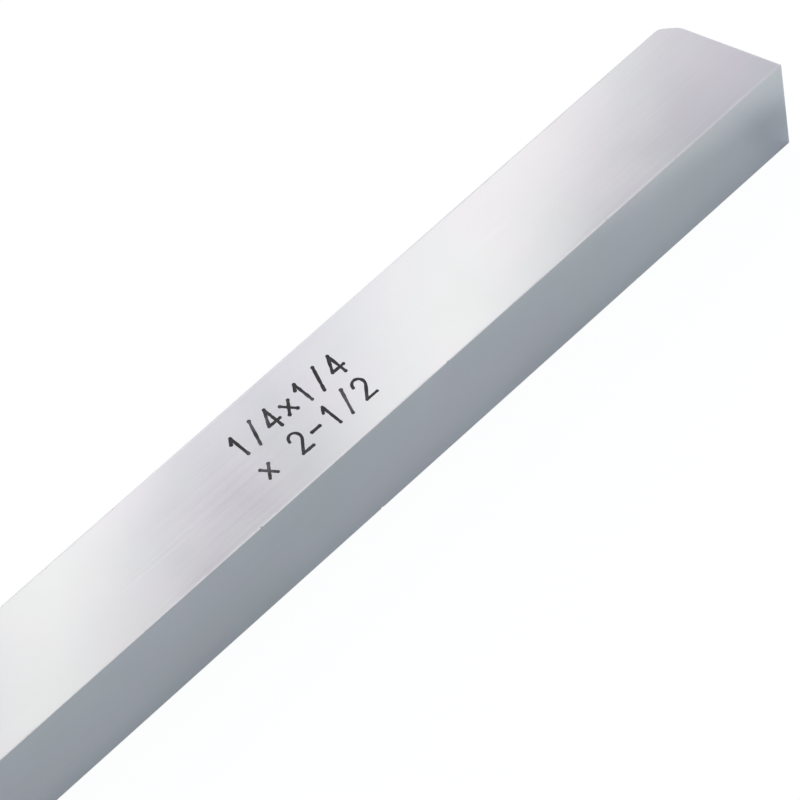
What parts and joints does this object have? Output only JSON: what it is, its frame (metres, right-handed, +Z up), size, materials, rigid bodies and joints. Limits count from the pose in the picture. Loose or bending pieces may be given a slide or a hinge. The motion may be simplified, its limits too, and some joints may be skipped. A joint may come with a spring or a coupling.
{
  "type": "square tool bit",
  "caption": "Square ground steel bar for turning tools, with both ends cut at a slant and one blunt corner ground to a flat.",
  "frame": {"origin": "under the middle of the bar, on the long face that it rests on", "axes": "+X along the bar towards the end with the ground-off corner, +Y from the front face to the back face, +Z up out of the marked face"},
  "size_m": [0.0634, 0.0064, 0.0063],
  "materials": {
    "ground_steel": "fine ground, satin, with lightly stoned edges",
    "etched_mark": "matt dark oxide in shallow etched strokes"
  },
  "bodies": {
    "root": {"tool_bit": "ground_steel"}
  },
  "joints": []
}
